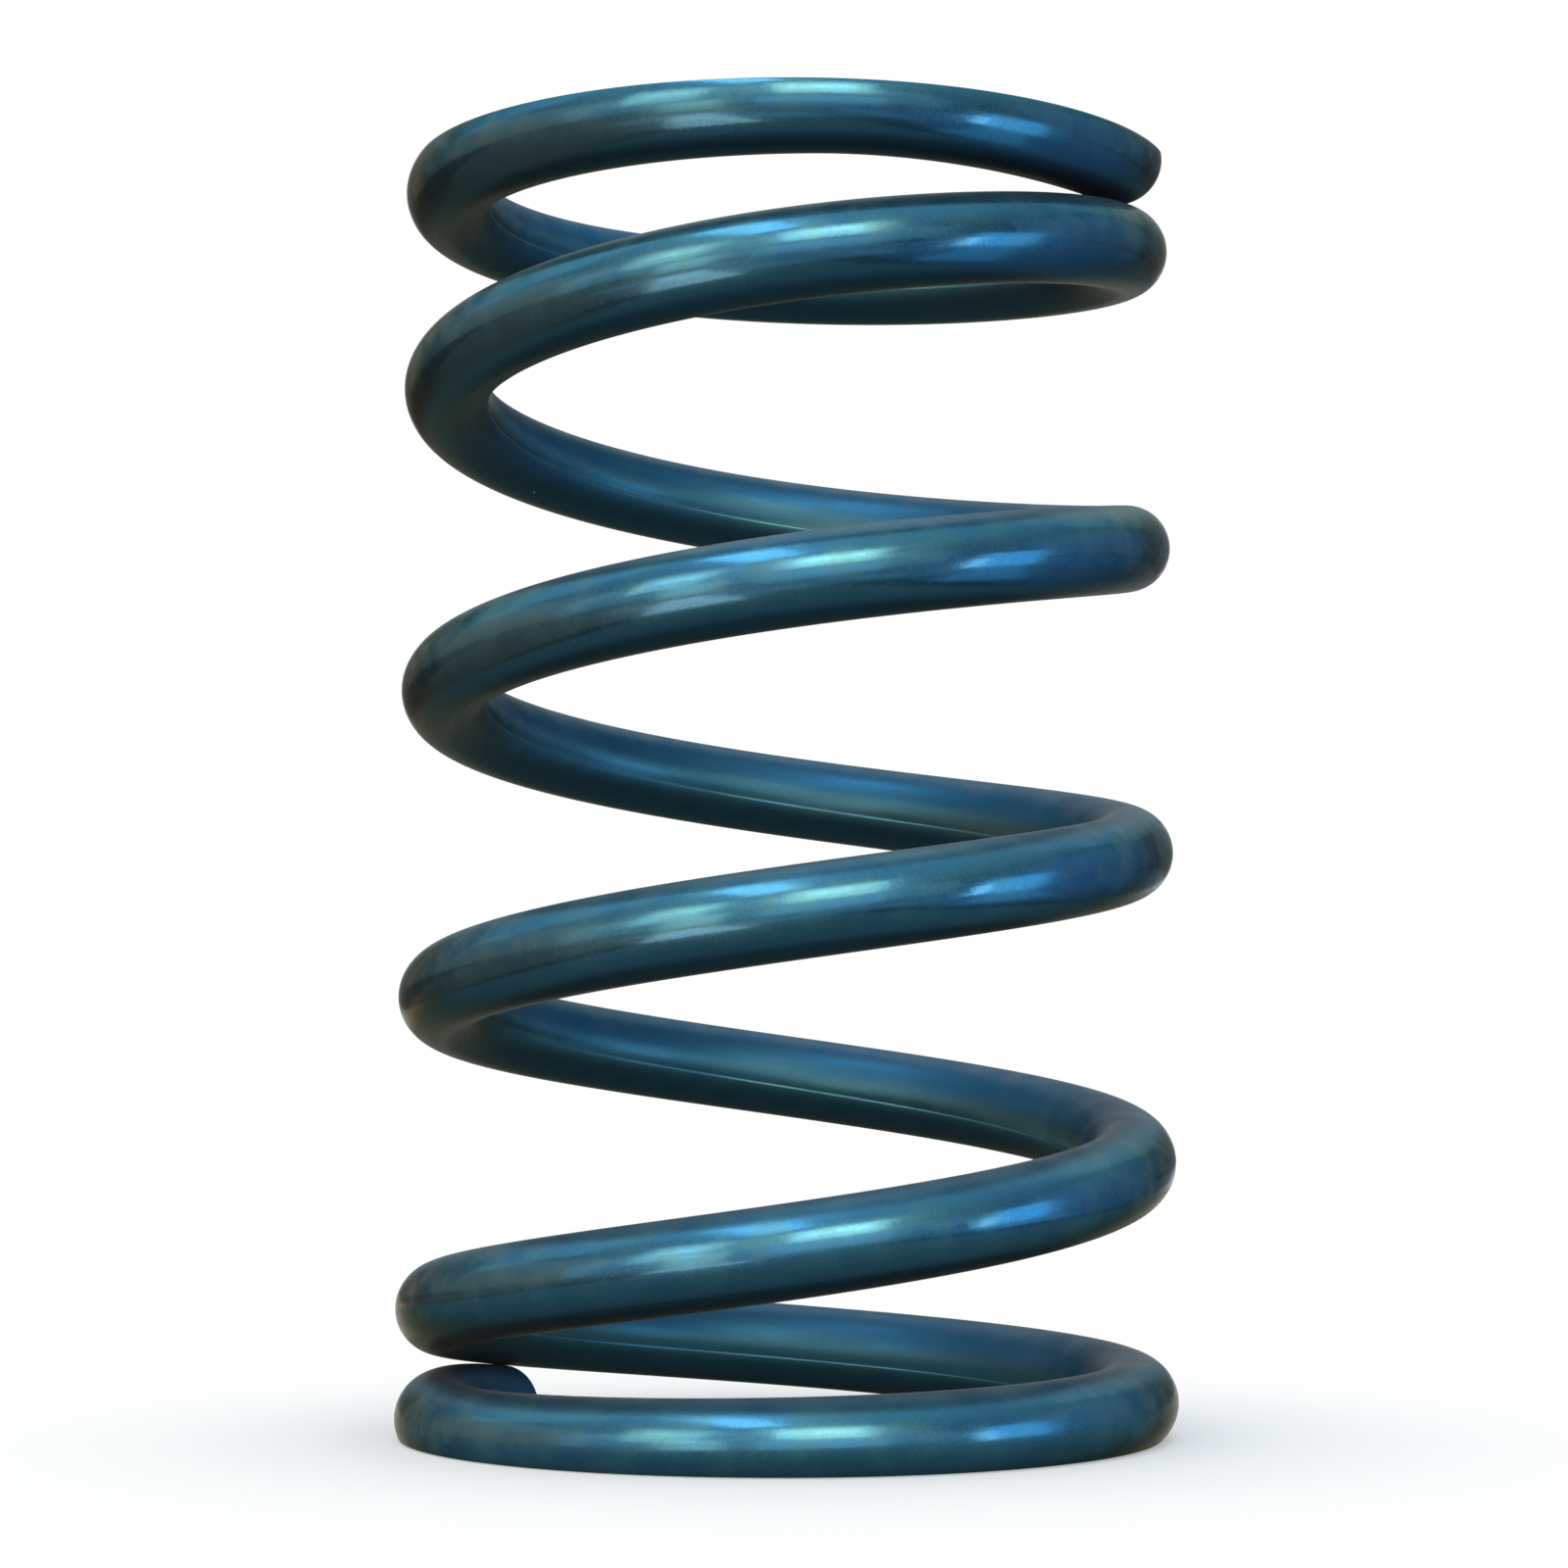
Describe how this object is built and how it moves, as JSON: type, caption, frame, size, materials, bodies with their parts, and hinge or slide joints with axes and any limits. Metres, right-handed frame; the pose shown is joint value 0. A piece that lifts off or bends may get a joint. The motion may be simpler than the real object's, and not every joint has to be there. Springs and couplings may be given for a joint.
{
  "type": "valve spring",
  "caption": "Helical compression spring of round coated wire, with closed and flat-ground end coils, that pushes an engine's valve shut.",
  "frame": {"origin": "centre of the lower ground face, on the spring's axis", "axes": "+Z along the spring's axis, from the lower to the upper ground face; -Y towards the camera of the picture"},
  "size_m": [0.0285, 0.0284, 0.0468],
  "materials": {
    "coated_wire": "thin dark teal-blue tinted metallic coat over drawn steel wire, satin, with fine coiling marks"
  },
  "bodies": {
    "root": {"valve_spring": "coated_wire"}
  },
  "joints": []
}
